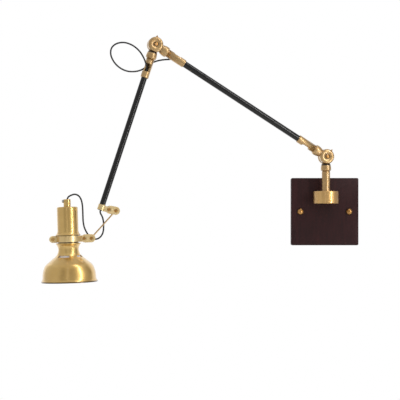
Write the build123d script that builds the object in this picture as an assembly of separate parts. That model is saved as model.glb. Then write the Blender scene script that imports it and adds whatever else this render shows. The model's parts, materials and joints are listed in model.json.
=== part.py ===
"""Articulating wall lamp. Millimetres, +Z up, the wall is the plane y = 0 and the lamp stands out along -Y.

The origin is the middle of the wall plate's back. The arms lie in a vertical plane through the post's axis,
the arm plane, and every piece on the arms is drawn in that plane's own frame: x runs out along the arms,
y is up and z runs back towards the wall, so the side that faces the room is at -z.
"""

from build123d import *
import math
import os

# --------------------------------------------------------------------------------------- driving sizes
# Wall plate and the fittings behind it
plate_side = 130.0
plate_thick = 18.0
plate_corner = 2.0
plate_edge = 0.9
pocket_width = 118.0
pocket_top = 42.0
pocket_bottom = -36.0
pocket_deep = 12.5
pocket_corner = 5.0
stud_spacing = 94.0
stud_radius = 2.0
dome_radius = 6.2
dome_high = 6.5
bracket_width = 112.0
bracket_height = 56.0
bracket_thick = 2.0
wall_screw_spacing = 60.0
wall_slot_width = 4.6
wall_slot_length = 12.0
wire_hole_radius = 9.0
block_width = 26.0
block_high = 16.0
block_deep = 10.0
block_drop = 19.0

# Base, post and the nipple between the base and the plate
base_radius = 24.5
base_bottom = 15.0
base_height = 23.6
base_roof = 8.0
base_wall = 5.2
base_cap_thick = 2.0
base_cap_ledge = 1.4
post_stand_off = 22.0
post_radius = 8.0
post_bore_radius = 4.0
post_seat_radius = 5.2
shank_radius = 6.0
nipple_radius = 5.0
nipple_bore_radius = 3.5
nipple_height = 24.0
nut_thick = 3.2

# Arm plane, arms and pivots
plane_turn = 13.0
lower_pivot_height = 105.0
upper_arm_length = 390.0
upper_arm_rise = 31.4
forearm_length = 318.4
forearm_lean = 18.4
upper_tube_radius = 6.0
upper_tube_bore = 4.6
forearm_tube_radius = 5.0
forearm_tube_bore = 3.8

# Half-lap knuckles
disc_radius = 14.25
disc_thick = 10.5
disc_round = 4.6
lap_gap = 0.8
mate_gap = 1.1
barrel_neck_radius = 7.9
barrel_neck_end = 13.1
barrel_radius = 10.0
barrel_peak = 23.0
barrel_end = 27.0
barrel_lip_radius = 9.3
groove_width = 1.3
groove_radius = 7.2
sleeve_radius = 7.6
sleeve_end = 65.0
tube_seat = 53.5
cavity_radius = 4.4
cavity_start = 31.0
drilling_radius = 2.0
drilling_start = 20.0
notch_start = 38.0
notch_floor = 0.8
notch_tilt = 40.0
notch_round = 3.5
spigot_length = 12.0
bolt_radius = 2.0
bolt_head_radius = 3.4
bolt_head_thick = 1.9
bolt_recess_radius = 4.3
bolt_recess_deep = 2.3
lock_radius = 1.5
lock_stand_out = 3.4
lock_cone = 2.6
lock_mouth_radius = 2.4
lock_mouth_deep = 3.0
lower_lock_angle = 128.7
upper_lock_angle = 100.3

# Clamps and the link between them
cheek_gap = 2.9
cheek_thick = 3.0
cheek_end_radius = 7.5
screw_spacing = 13.2
pivot_radius = 1.6
screw_head_radius = 2.9
screw_head_thick = 1.7
screw_recess_radius = 4.6
screw_recess_deep = 1.5
arm_strap_height = 10.3
arm_strap_thick = 1.8
arm_pivot_reach = 27.0
arm_cheek_set = 8.0
head_strap_height = 11.3
head_strap_thick = 1.9
head_pivot_reach = 41.9
link_length = 68.0
link_fall = 47.9
link_wire_radius = 1.3
link_eye_radius = 2.95
link_eye_turn = 265.0

# Head, heights above the shade's rim
head_tilt = 1.76
rim_radius = 51.8
rim_edge = 1.8
bell_radius = 48.9
lip_height = 10.2
side_radius = 45.2
side_height = 27.8
shoulder_radius = 40.1
shoulder_height = 34.6
slope_radius = 25.9
slope_height = 45.8
neck_radius = 18.8
neck_height = 57.6
flange_radius = 21.9
flange_height = 69.8
flange_rim = 1.8
shade_wall = 1.2
collar_radius = 18.9
collar_into_cover = 3.8
vent_count = 4
vent_height = 45.9
vent_size = 3.4
vent_angle = 55.0
vent_first = -32.0
cover_radius = 19.1
cover_wall = 1.2
cover_height = 52.5
skirt_height = 6.8
skirt_edge = 1.1
cover_round = 2.4
gland_radius = 6.3
gland_height = 13.9
gland_screw_height = 10.4
holder_radius = 16.6
holder_length = 68.5
holder_skirt = 50.0
holder_neck_radius = 9.0
socket_radius = 14.3
socket_deep = 31.0
shell_thick = 0.8
shell_length = 27.5
cap_radius = 13.1
bulb_radius = 22.5
bulb_length = 54.0
bulb_neck_round = 14.0
bulb_wall = 1.0

# Fits
slip = 0.05
pin_slip = 0.05
face_slip = 0.1
strap_gap = 1.75
cover_gap = 0.55
cord_radius = 1.5

# ---------------------------------------------------------------------------------------------- places
plate_front = -plate_thick
post_y = plate_front - post_stand_off
base_top = base_bottom + base_height
plane_angle = math.radians(plane_turn)
ARM_PLANE = Plane(
    origin=(0, post_y, 0),
    x_dir=(-math.cos(plane_angle), -math.sin(plane_angle), 0),
    z_dir=(-math.sin(plane_angle), math.cos(plane_angle), 0),
)


def step_from(point, length, degrees):
    """The point that lies a length away in a direction, in the arm plane."""
    angle = math.radians(degrees)
    return (point[0] + length * math.cos(angle), point[1] + length * math.sin(angle))


upper_arm_angle = upper_arm_rise
forearm_angle = forearm_lean - 90
arm_cheek_angle = forearm_angle - 90
link_angle = -link_fall
head_angle = -head_tilt

lower_pivot = (0.0, lower_pivot_height)
elbow_pivot = step_from(lower_pivot, upper_arm_length, upper_arm_angle)
clamp_centre = step_from(elbow_pivot, forearm_length, forearm_angle)
clamp_bend = 8.0
bend_point = step_from(clamp_centre, clamp_bend, arm_cheek_angle)
link_top_pivot = step_from(bend_point, arm_pivot_reach - clamp_bend, arm_cheek_angle - arm_cheek_set)
link_low_pivot = step_from(link_top_pivot, link_length, link_angle)
head_centre = step_from(link_low_pivot, head_pivot_reach, head_angle)

flange_top = flange_height + flange_rim
head_strap_middle = flange_top + strap_gap + head_strap_height / 2
cover_bottom = head_strap_middle + head_strap_height / 2 + cover_gap
cover_top = cover_bottom + cover_height
collar_top = cover_bottom + collar_into_cover
holder_top = cover_top - cover_wall
holder_bottom = holder_top - holder_length

half_lap = lap_gap / 2
disc_face = half_lap + disc_thick
recess_floor = disc_face - bolt_recess_deep
cheek_face = cheek_gap / 2 + cheek_thick
strap_inner = collar_radius + slip

UP = (Align.CENTER, Align.CENTER, Align.MIN)


def placed(shape, point, degrees=0.0):
    """A shape drawn round its own origin, turned in the arm plane and set at a point of it."""
    return Pos(point[0], point[1], 0) * Rot(0, 0, degrees) * shape


def write(name, shape):
    """Writes one sub-part in the lamp's own frame."""
    export_step(shape, f"parts/{name}.step")


def write_arm(name, *shapes):
    """Writes a sub-part that was drawn in the arm plane; several shapes are separate solids of one node."""
    moved = [ARM_PLANE.location * shape for shape in shapes]
    write(name, moved[0] if len(moved) == 1 else Compound(children=moved))


# ---------------------------------------------------------------------------------------- basic shapes
def rod(radius, start, end):
    """A cylinder between two points of its axis."""
    start = Vector(*start)
    axis = Vector(*end) - start
    return Plane(origin=start, z_dir=axis) * Cylinder(radius, axis.length, align=UP)


def cone(low_radius, high_radius, start, end):
    """A cone between two points of its axis."""
    start = Vector(*start)
    axis = Vector(*end) - start
    return Plane(origin=start, z_dir=axis) * Cone(low_radius, high_radius, axis.length, align=UP)


def tube(outer, inner, start, end):
    """A hollow cylinder between two points of its axis."""
    return rod(outer, start, end) - rod(inner, start, end)


def hexagon(across, start, end):
    """A hexagonal prism between two points of its axis, by its size across the flats."""
    start = Vector(*start)
    axis = Vector(*end) - start
    flats = Sketch() + RegularPolygon(across / 2, 6, major_radius=False)
    return Plane(origin=start, z_dir=axis) * extrude(flats, axis.length)


def turned(outline):
    """A closed outline of radius and height, in XY, turned round the Z axis."""
    return revolve(Plane.XZ * make_face(outline), Axis.Z)


def slotted_screw(shank, head, head_thick, head_at, end_at):
    """A slotted screw along Z: its head bears at head_at and its shank ends at end_at."""
    way = 1 if end_at > head_at else -1
    crown = head_at - way * head_thick
    shape = rod(shank, (0, 0, head_at), (0, 0, end_at)) + rod(head, (0, 0, crown), (0, 0, head_at))
    shape = chamfer(shape.edges().filter_by(GeomType.CIRCLE).group_by(Axis.Z)[0 if way > 0 else -1], 0.35)
    slot_deep = head_thick * 0.45
    slot_middle = crown + way * slot_deep / 2
    return shape - Pos(0, 0, slot_middle) * Box(head * 2.2, 0.9, slot_deep)


# -------------------------------------------------------------------------------------------- wall end
def wall_plate():
    """Square wooden plate, pocketed behind, with holes for the studs and the nipple."""
    plate = Box(plate_side, plate_thick, plate_side)
    plate = Pos(0, -plate_thick / 2, 0) * plate
    plate = fillet(plate.edges().filter_by(Axis.Y), plate_corner)
    plate = fillet(plate.faces().sort_by(Axis.Y)[0].edges(), plate_edge)
    pocket_height = pocket_top - pocket_bottom
    pocket = Box(pocket_width, pocket_deep, pocket_height)
    pocket = fillet(pocket.edges().filter_by(Axis.Y), pocket_corner)
    plate -= Pos(0, -pocket_deep / 2, (pocket_top + pocket_bottom) / 2) * pocket
    for side in (-1, 1):
        x = side * stud_spacing / 2
        plate -= rod(stud_radius + 0.4, (x, 1, 0), (x, plate_front - 1, 0))
    plate -= rod(nipple_radius + slip, (0, 1, nipple_height), (0, plate_front - 1, nipple_height))
    return plate


def wall_bracket():
    """Steel plate with two slots for wall screws, a hole for the house wire and two stud holes."""
    bracket = Box(bracket_width, bracket_thick, bracket_height)
    bracket = Pos(0, -bracket_thick / 2, 0) * bracket
    bracket = fillet(bracket.edges().filter_by(Axis.Y), 4)
    bracket -= rod(wire_hole_radius, (0, 1, 0), (0, -bracket_thick - 1, 0))
    slot = extrude(SlotOverall(wall_slot_length, wall_slot_width), bracket_thick * 2, both=True)
    for side in (-1, 1):
        bracket -= Pos(side * wall_screw_spacing / 2, 0, 0) * Rot(90, 0, 0) * slot
        x = side * stud_spacing / 2
        bracket -= rod(stud_radius + slip, (x, 1, 0), (x, -bracket_thick - 1, 0))
    bracket -= rod(earth_radius, (earth_x, 1, earth_z), (earth_x, -bracket_thick - 1, earth_z))
    return bracket


earth_radius = 2.0
earth_x = -30.0
earth_z = -18.0


def bracket_stud(x):
    """Stud that is pressed into the bracket, with a collar in front of it."""
    tip = plate_front - dome_high * 0.6
    collar = rod(stud_radius + 1.6, (x, -bracket_thick, 0), (x, -bracket_thick - 1.2, 0))
    return rod(stud_radius, (x, 0, 0), (x, tip, 0)) + collar


def dome_nut(x):
    """Domed brass nut that bears on the plate's front, threaded from behind."""
    skirt = 1.8
    bore = stud_radius + slip
    bore_top = dome_high * 0.62
    rise = dome_high - skirt
    ball = (dome_radius**2 + rise**2) / (2 * rise)
    crown = (ball * math.sqrt(0.5), dome_high - ball + ball * math.sqrt(0.5))
    outline = Polyline((0, bore_top), (bore, bore_top), (bore, 0), (dome_radius, 0), (dome_radius, skirt))
    outline += ThreePointArc((dome_radius, skirt), crown, (0, dome_high))
    outline += Line((0, dome_high), (0, bore_top))
    return Pos(x, plate_front, 0) * Rot(90, 0, 0) * turned(outline)


def terminal_block():
    """Three-way terminal block on the bracket, with a wire hole and a screw hole for each way."""
    back = -bracket_thick
    block = Pos(0, back - block_deep / 2, -block_drop) * Box(block_width, block_deep, block_high)
    block = fillet(block.edges().filter_by(Axis.Y), 1.2)
    for way in range(3):
        x = (way - 1) * block_width / 3
        wire_y = back - block_deep * 0.4
        block -= rod(1.9, (x, wire_y, -block_drop - block_high), (x, wire_y, -block_drop + block_high))
        block -= rod(1.7, (x, back - block_deep - 1, -block_drop), (x, wire_y, -block_drop))
    for gap in (-0.5, 0.5):
        x = gap * block_width / 3
        block -= Pos(x, back - block_deep, -block_drop) * Box(0.8, 4, block_high + 1)
    return block


def terminal_screw(way):
    """Clamping screw of one way of the block."""
    x = (way - 1) * block_width / 3
    top = -bracket_thick - block_deep + 1.5
    screw = slotted_screw(1.2, 1.6, 1.4, 0, 4.2)
    return Pos(x, top + 1.4, -block_drop) * Rot(-90, 0, 0) * screw


def earth_screw():
    """Earth screw in the bracket."""
    screw = slotted_screw(earth_radius - slip, 3.6, 2.2, 0, bracket_thick)
    return Pos(earth_x, -bracket_thick, earth_z) * Rot(-90, 0, 0) * screw


def base_cavity_radius():
    """The cavity leaves one wall thickness at the flat back of the base."""
    return post_stand_off - base_wall


def swivel_base():
    """Turned base: flat at the back, bored through its roof for the shank and hollow underneath."""
    base = Pos(0, post_y, base_bottom) * Cylinder(base_radius, base_height, align=UP)
    behind = base_radius * 2
    base -= Pos(0, plate_front + behind / 2, base_bottom + base_height / 2) * Box(behind, behind, behind)
    base = fillet(base.faces().sort_by(Axis.Z)[-1].edges() + base.faces().sort_by(Axis.Z)[0].edges(), 0.8)
    cavity = base_cavity_radius()
    ledge = base_bottom + base_cap_thick
    base -= rod(cavity + base_cap_ledge, (0, post_y, base_bottom - 1), (0, post_y, ledge))
    base -= rod(cavity, (0, post_y, base_bottom - 1), (0, post_y, base_top - base_roof))
    base -= rod(shank_radius + slip, (0, post_y, base_bottom), (0, post_y, base_top + 1))
    return base - rod(nipple_radius + slip, (0, plate_front + 1, nipple_height), (0, post_y, nipple_height))


def base_cap():
    """Disc that closes the base underneath, seated on the ledge in the cavity's mouth."""
    radius = base_cavity_radius() + base_cap_ledge - slip
    cap = rod(radius, (0, post_y, base_bottom), (0, post_y, base_bottom + base_cap_thick))
    return chamfer(cap.faces().sort_by(Axis.Z)[0].edges(), 0.4)


def base_nipple():
    """Hollow threaded nipple from the base's cavity to behind the plate."""
    inner_y = plate_front - base_wall
    outer_y = plate_front + plate_thick - pocket_deep + nut_thick + 1.6
    return tube(nipple_radius, nipple_bore_radius, (0, inner_y, nipple_height), (0, outer_y, nipple_height))


def nipple_nut():
    """Nut that draws the base against the plate."""
    web_y = -pocket_deep
    start = (0, web_y, nipple_height)
    end = (0, web_y + nut_thick, nipple_height)
    return hexagon(14, start, end) - rod(nipple_radius + slip, start, end)


# ------------------------------------------------------------------------------------------------ post
post_top = lower_pivot_height - barrel_end - groove_width
shank_end = base_top - base_roof - 9.5


def post():
    """Post tube with its shoulder on the base and its shank through it, in the lamp's frame."""
    shape = rod(post_radius, (0, post_y, base_top), (0, post_y, post_top))
    shape += rod(shank_radius, (0, post_y, shank_end), (0, post_y, base_top))
    shape = chamfer(shape.faces().sort_by(Axis.Z)[-1].edges(), 0.3)
    shape -= rod(post_bore_radius, (0, post_y, shank_end - 1), (0, post_y, post_top + 1))
    seat_low = post_top - spigot_length - face_slip
    return shape - rod(post_seat_radius, (0, post_y, seat_low), (0, post_y, post_top + 1))


def post_washer():
    """Washer between the base's roof and the nut."""
    top = base_top - base_roof
    return tube(shank_radius + 4.5, shank_radius + slip, (0, post_y, top - 1.5), (0, post_y, top))


def post_nut():
    """Nut that holds the shank in the base."""
    top = base_top - base_roof - 1.5
    start = (0, post_y, top - 5)
    end = (0, post_y, top)
    return hexagon(18, start, end) - rod(shank_radius + slip, start, end)


# -------------------------------------------------------------------------------------------- knuckles
def knuckle_disc():
    """The half-lap disc on the -z side of the lap, its outer edge well rounded."""
    disc = Pos(0, 0, -disc_face) * Cylinder(disc_radius, disc_thick, align=UP)
    disc = fillet(disc.faces().sort_by(Axis.Z)[0].edges(), disc_round)
    return chamfer(disc.faces().sort_by(Axis.Z)[-1].edges(), 0.3)


def barrel_outline(*beyond):
    """Half outline of the barrel, along x, with the points beyond its groove given by the caller."""
    neck = (barrel_neck_end, barrel_neck_radius)
    peak = (barrel_peak, barrel_radius)
    lip = (barrel_end, barrel_lip_radius)
    groove = ((barrel_end, groove_radius), (barrel_end + groove_width, groove_radius))
    outline = Polyline((0, 0), (0, barrel_neck_radius), neck)
    outline += TangentArc(peak, neck, tangent=(-1, 0))
    outline += TangentArc(peak, lip, tangent=(1, 0))
    return make_face(outline + Polyline(lip, *groove, *beyond, (0, 0)))


def lapped(shape):
    """Joins the disc, clears the space of the mating disc and bores for the bolt."""
    shape += knuckle_disc()
    clear = disc_radius + mate_gap
    shape -= Pos(0, 0, -half_lap) * Cylinder(clear, disc_face * 2, align=UP)
    shape -= rod(bolt_radius + pin_slip, (0, 0, -disc_face - 1), (0, 0, 1))
    return shape - rod(bolt_recess_radius, (0, 0, -disc_face - 1), (0, 0, -recess_floor))


def notch():
    """Milled notch through which the cord leaves the sleeve, tilted away from the disc's side."""
    length = tube_seat - notch_start
    depth = sleeve_radius * 2
    width = sleeve_radius * 3
    cutter = Pos(notch_start + length / 2, notch_floor + depth / 2, 0) * Box(length, depth, width)
    floor_edges = cutter.faces().sort_by(Axis.Y)[0].edges().filter_by(Axis.Z)
    cutter = fillet(floor_edges, notch_round)
    return Rot(180 - notch_tilt, 0, 0) * cutter


def arm_knuckle(tube_radius):
    """Half knuckle with its sleeve: the same turned and milled piece serves at both ends of each tube."""
    groove_end = barrel_end + groove_width
    outline = barrel_outline((groove_end, sleeve_radius), (sleeve_end, sleeve_radius), (sleeve_end, 0))
    shape = revolve(outline, Axis.X)
    shape = chamfer(shape.faces().sort_by(Axis.X)[-1].edges(), 0.5)
    shape = lapped(shape)
    shape -= rod(tube_radius + slip, (tube_seat, 0, 0), (sleeve_end + 1, 0, 0))
    shape -= rod(cavity_radius, (cavity_start, 0, 0), (tube_seat + 1, 0, 0))
    shape -= rod(drilling_radius, (drilling_start, 0, 0), (cavity_start + 1, 0, 0))
    return shape - notch()


def post_knuckle():
    """Half knuckle on the post: no sleeve, but a spigot that goes into the post's bore."""
    start = barrel_end + groove_width
    end = start + spigot_length
    radius = post_seat_radius - slip
    return lapped(revolve(barrel_outline((start, radius), (end, radius), (end, 0)), Axis.X))


def with_lock_hole(shape, degrees):
    """Drills the radial hole of the lock screw, with its wider mouth at the rim."""
    middle = -half_lap - disc_thick / 2
    hole = rod(lock_radius + slip, (0, 0, middle), (disc_radius + 1, 0, middle))
    mouth = rod(lock_mouth_radius, (disc_radius - lock_mouth_deep, 0, middle), (disc_radius + 2, 0, middle))
    return shape - Rot(0, 0, degrees) * (hole + mouth)


def lock_screw():
    """Set screw with a cone point outwards; its inner end bears on the bolt."""
    middle = -half_lap - disc_thick / 2
    end = disc_radius + lock_stand_out
    shank = rod(lock_radius, (bolt_radius, 0, middle), (end - lock_cone, 0, middle))
    return shank + cone(lock_radius, lock_radius * 0.3, (end - lock_cone, 0, middle), (end, 0, middle))


def knuckle_bolt():
    """Bolt of a knuckle, its head in the front recess."""
    return slotted_screw(bolt_radius, bolt_head_radius, bolt_head_thick, -recess_floor, disc_face - 0.3)


def knuckle_nut():
    """Nut in the rear recess."""
    start = (0, 0, recess_floor + face_slip)
    end = (0, 0, disc_face)
    return hexagon(7, start, end) - rod(bolt_radius + slip, start, end)


def knuckle_washer():
    """Friction washer between the two discs."""
    side = half_lap
    return tube(disc_radius * 0.8, bolt_radius + pin_slip, (0, 0, -side), (0, 0, side - slip))


def other_side(shape):
    """The same knuckle half turned over along its arm, so that its disc is the rear one."""
    return Rot(180, 0, 0) * shape


# ------------------------------------------------------------------------------------------------ arms
def arm_tube(radius, bore, start, end):
    """Black arm tube along x, its edges eased."""
    shape = rod(radius, (start, 0, 0), (end, 0, 0))
    shape = chamfer(shape.edges().filter_by(GeomType.CIRCLE), 0.3)
    return shape - rod(bore, (start - 1, 0, 0), (end + 1, 0, 0))


def grommet():
    """Rubber bush in the forearm's lower end, flush with it."""
    end = forearm_tube_end
    return tube(forearm_tube_bore, cord_radius + slip, (end - 6, 0, 0), (end, 0, 0))


upper_tube_end = upper_arm_length - tube_seat
forearm_tube_end = forearm_length + arm_strap_height / 2 + 0.5


# ---------------------------------------------------------------------------------------------- clamps
def cheek(pivot_at, height, reach_from):
    """One cheek in the xy plane: a pill round the two screws, narrowed to the strap's height behind them."""
    near = pivot_at - screw_spacing + 2.6
    outline = Pos((near + pivot_at) / 2, 0) * SlotCenterToCenter(pivot_at - near, cheek_end_radius * 2)
    web = Pos((reach_from + near) / 2, 0) * Rectangle(near - reach_from, height)
    plate = extrude(Sketch() + outline + web, cheek_thick)
    plate = Pos(0, 0, -cheek_face) * plate
    rim = plate.faces().sort_by(Axis.Z)[0].edges()
    return chamfer(rim, 0.5)


def cheek_holes(pivot_at, offset=0.0):
    """Through holes of the clamp screw and the pivot screw, and the recesses of their heads and nuts."""
    holes = []
    for x in (pivot_at - screw_spacing, pivot_at):
        holes.append(rod(pivot_radius + pin_slip, (x, offset, -cheek_face - 1), (x, offset, cheek_face + 1)))
        for way in (-1, 1):
            floor = way * (cheek_face - screw_recess_deep)
            holes.append(rod(screw_recess_radius, (x, offset, floor), (x, offset, way * (cheek_face + 1))))
    return holes


def strap_reach(inner, thick):
    """Where the strap's straight run comes down to the middle of the cheek's thickness."""
    return (inner + thick / 2) * math.sqrt(2) - cheek_gap / 2 - cheek_thick / 2


def strap_bend(inner, thick, height):
    """Front half of a strap: round from the -x side to past the front, then straight to the cheek."""
    outer = inner + thick
    wide = outer * 3
    ring = Rot(90, 0, 0) * (Cylinder(outer, height) - Cylinder(inner, height * 2))
    ring -= Pos(0, 0, wide / 2) * Box(wide, height * 2, wide)
    ring -= Rot(0, -45, 0) * Pos(wide / 2, 0, 0) * Box(wide, height * 2, wide)
    leave = (inner + thick / 2) * math.sqrt(0.5)
    run = (strap_reach(inner, thick) - leave) * math.sqrt(2)
    straight = Pos(leave, 0, -leave) * Rot(0, -45, 0) * Pos(run / 2, 0, 0) * Box(run, height, thick)
    return ring + straight


def forearm_clamp():
    """One-piece strap round the forearm's end with two cheeks; x runs from the ring towards the pivot."""
    inner = forearm_tube_radius + slip
    pivot = arm_pivot_reach
    strap = strap_bend(inner, arm_strap_thick, arm_strap_height)
    plate = Pos(clamp_bend, 0, 0) * Rot(0, 0, -arm_cheek_set) * Pos(-clamp_bend, 0, 0)
    start = strap_reach(inner, arm_strap_thick) - 0.6
    side = strap + plate * cheek(pivot, arm_strap_height, start)
    side -= Rot(90, 0, 0) * Cylinder(inner, arm_strap_height * 2)
    shape = side + mirror(side, Plane.XY)
    for hole in cheek_holes(pivot):
        shape -= plate * hole
    return shape


def head_strap():
    """Front half of the head's clamp: ear at -x, ring, bend and cheek at +x."""
    strap = strap_bend(strap_inner, head_strap_thick, head_strap_height)
    start = strap_reach(strap_inner, head_strap_thick) - 0.8
    side = strap + cheek(head_pivot_reach, head_strap_height, start)
    side += head_ear()
    for hole in cheek_holes(head_pivot_reach):
        side -= hole
    ear_floor = -ear_thick + 1.0
    side -= rod(pivot_radius + pin_slip, (-ear_reach, 0, -ear_thick - 1), (-ear_reach, 0, 1))
    return side - rod(screw_head_radius + 0.5, (-ear_reach, 0, -ear_thick - 1), (-ear_reach, 0, ear_floor))


ear_reach = 28.6
ear_radius = 6.2
ear_thick = 3.2
ear_head_thick = 1.4


def head_ear():
    """Round ear of one half strap, at the side away from the cheeks."""
    outline = Pos(-ear_reach, 0) * Circle(ear_radius)
    start = strap_inner + head_strap_thick / 2
    web = Pos(-(ear_reach + start) / 2, 0) * Rectangle(ear_reach - start, ear_radius * 2)
    ear = Pos(0, 0, -ear_thick) * extrude(Sketch() + outline + web, ear_thick - slip)
    bore = Rot(90, 0, 0) * Cylinder(strap_inner, ear_radius * 4)
    return chamfer(ear.faces().sort_by(Axis.Z)[0].edges(), 0.5) - bore


def clamp_screw(x):
    """Screw through both cheeks, its head in the front recess."""
    floor = cheek_face - screw_recess_deep
    end = cheek_face - face_slip
    return Pos(x, 0, 0) * slotted_screw(pivot_radius, screw_head_radius, screw_head_thick, -floor, end)


def clamp_nut(x):
    """Round nut in the rear recess."""
    floor = cheek_face - screw_recess_deep
    start = (x, 0, floor)
    end = (x, 0, cheek_face)
    return tube(screw_head_radius + 0.6, pivot_radius + slip, start, end)


def link_rod():
    """Brass wire rolled round a pivot at each end; its straight run is tangent to both eyes."""
    side = link_eye_radius
    path = CenterArc((0, 0), side, 90 + link_eye_turn, -link_eye_turn)
    path += Line((0, side), (link_length, side))
    path += CenterArc((link_length, 0), side, 90, -link_eye_turn)
    section = Plane(origin=path @ 0, z_dir=path % 0) * Circle(link_wire_radius)
    return sweep(section, path=path)


# ------------------------------------------------------------------------------------------------ head
def tangent_arcs(points, direction):
    """Arcs through points, each tangent to the one before it; the first leaves in a direction."""
    arcs = []
    for start, end in zip(points, points[1:]):
        arc = TangentArc(start, end, tangent=direction)
        arcs.append(arc)
        direction = arc % 1
    return arcs


def one_wall_in(arcs, wall):
    """The same run of arcs one wall further in."""
    direction = arcs[0] % 0
    points = []
    for end, heading in [(arcs[0] @ 0, direction)] + [(arc @ 1, arc % 1) for arc in arcs]:
        points.append((end.X - wall * heading.Y, end.Y + wall * heading.X))
    return tangent_arcs(points, direction)


def bell_arcs():
    """The shade's outer run from the lip's edge to the flange; the lip's arc ends upright."""
    points = [
        (rim_radius, rim_edge),
        (bell_radius, lip_height),
        (side_radius, side_height),
        (shoulder_radius, shoulder_height),
        (slope_radius, slope_height),
        (neck_radius, neck_height),
        (flange_radius, flange_height),
    ]
    lean = 2 * math.atan2(rim_radius - bell_radius, lip_height - rim_edge)
    return tangent_arcs(points, (-math.sin(lean), math.cos(lean)))


def shade():
    """Spun bell with a flared lip, vent slots round its shoulder, a flange and a straight collar above it."""
    outer = bell_arcs()
    inner = one_wall_in(outer, shade_wall)
    mouth = inner[0] @ 0
    roof = inner[-1] @ 1
    outside = Polyline((0, 0), (rim_radius - shade_wall / 2, 0), (rim_radius, rim_edge)) + outer
    outside += Polyline(
        (flange_radius, flange_height),
        (flange_radius, flange_top),
        (collar_radius, flange_top),
        (collar_radius, collar_top),
        (0, collar_top),
        (0, 0),
    )
    inside = Polyline((0, -1), (mouth.X, -1), (mouth.X, mouth.Y)) + inner
    inside += Polyline((roof.X, roof.Y), (0, roof.Y), (0, -1))
    bore = rod(collar_radius - shade_wall, (0, 0, 0), (0, 0, collar_top + 1))
    return turned(outside) - turned(inside) - bore - vent_slots()


def vent_slots():
    """Level slots through the slope, evenly spaced; the first is counted from the room side."""
    sector = Rectangle(flange_radius, vent_size, align=(Align.MIN, Align.CENTER))
    sector = Pos(flange_radius - 3, vent_height) * sector
    slot = revolve(Plane.XZ * sector, Axis.Z, vent_angle)
    slots = []
    for count in range(vent_count):
        middle = 90 + vent_first + count * 360 / vent_count
        slots.append(Rot(0, 0, middle - vent_angle / 2) * slot)
    return slots


def holder_cover():
    """Drawn cover: a flared skirt over the strap, a cylinder and a rounded top with the nipple's hole."""
    edge = (flange_radius, cover_bottom + skirt_edge)
    waist = (cover_radius, cover_bottom + skirt_height)
    shoulder = (cover_radius, cover_top - cover_round)
    crown = (cover_radius - cover_round, cover_top)
    outline = Polyline((0, cover_bottom), (flange_radius, cover_bottom), edge)
    outline += TangentArc(waist, edge, tangent=(0, -1))
    outline += Line(waist, shoulder)
    outline += TangentArc(shoulder, crown, tangent=(0, 1))
    outline += Polyline(crown, (0, cover_top), (0, cover_bottom))
    shape = turned(outline)
    shape -= rod(cover_radius - cover_wall, (0, 0, cover_bottom - 1), (0, 0, holder_top))
    shape -= rod(collar_radius + slip, (0, 0, cover_bottom - 1), (0, 0, collar_top + face_slip))
    return shape - rod(nipple_radius + slip, (0, 0, holder_top - 1), (0, 0, cover_top + 1))


nipple_into_gland = 6.0
nipple_into_holder = 12.0


def cord_gland():
    """Brass cord grip on top of the cover, with a cord hole above and a threaded bore below."""
    top = cover_top + gland_height
    shape = rod(gland_radius, (0, 0, cover_top), (0, 0, top))
    shape = fillet(shape.faces().sort_by(Axis.Z)[-1].edges(), 0.7)
    thread_end = cover_top + nipple_into_gland + face_slip
    shape -= rod(nipple_radius + slip, (0, 0, cover_top - 1), (0, 0, thread_end))
    shape -= rod(cord_radius + 0.15, (0, 0, cover_top), (0, 0, top + 1))
    height = cover_top + gland_screw_height
    return shape - rod(1.3, (0, 0, height), (gland_radius + 1, 0, height))


def gland_screw():
    """Silver set screw that grips the cord, in the gland's outer side."""
    height = cover_top + gland_screw_height
    screw = slotted_screw(1.25, 2.7, 2.6, 0, gland_radius - cord_radius - 0.3)
    return Pos(gland_radius, 0, height) * Rot(0, -90, 0) * screw


def holder_nipple():
    """Hollow nipple from the lampholder through the cover into the gland."""
    low = holder_top - nipple_into_holder
    return tube(nipple_radius, nipple_bore_radius, (0, 0, low), (0, 0, cover_top + nipple_into_gland))


def lampholder():
    """Insulating lampholder: skirt with the socket below, neck up to the cover's top."""
    shoulder = holder_bottom + holder_skirt
    outline = Polyline(
        (0, holder_bottom),
        (holder_radius, holder_bottom),
        (holder_radius, shoulder - 6),
        (holder_neck_radius + 2, shoulder),
        (holder_neck_radius, shoulder + 1.5),
        (holder_neck_radius, holder_top),
        (0, holder_top),
        (0, holder_bottom),
    )
    shape = turned(outline)
    shape -= rod(socket_radius, (0, 0, holder_bottom - 1), (0, 0, holder_bottom + socket_deep))
    shape -= rod(nipple_bore_radius, (0, 0, holder_bottom), (0, 0, holder_top + 1))
    low = holder_top - nipple_into_holder - face_slip
    return shape - rod(nipple_radius + slip, (0, 0, low), (0, 0, holder_top + 1))


def lampholder_shell():
    """Screw shell of the socket."""
    outer = socket_radius - slip
    low = holder_bottom + 1
    return tube(outer, outer - shell_thick, (0, 0, low), (0, 0, low + shell_length))


def lampholder_contact():
    """Centre contact: a rivet in the socket's floor with a tongue that meets the cap's tip."""
    floor = holder_bottom + socket_deep
    foot = rod(nipple_bore_radius + 2, (0, 0, floor - 0.8), (0, 0, floor))
    return foot + cone(1.4, 2.4, (0, 0, cap_tip), (0, 0, floor - 0.8))


cap_bottom = holder_bottom + 2.0
cap_length = 23.0
cap_tip = cap_bottom + cap_length + 2.2


def bulb_cap():
    """Screw cap of the bulb with its centre contact."""
    body = rod(cap_radius, (0, 0, cap_bottom), (0, 0, cap_bottom + cap_length - 3))
    body += cone(cap_radius, 6, (0, 0, cap_bottom + cap_length - 3), (0, 0, cap_bottom + cap_length))
    body += rod(4.5, (0, 0, cap_bottom + cap_length), (0, 0, cap_tip))
    return body


def bulb():
    """Opal globe with a neck that runs up through the shade's neck to the cap."""
    return turned(bulb_outline(0)) - turned(bulb_outline(bulb_wall))


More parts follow.
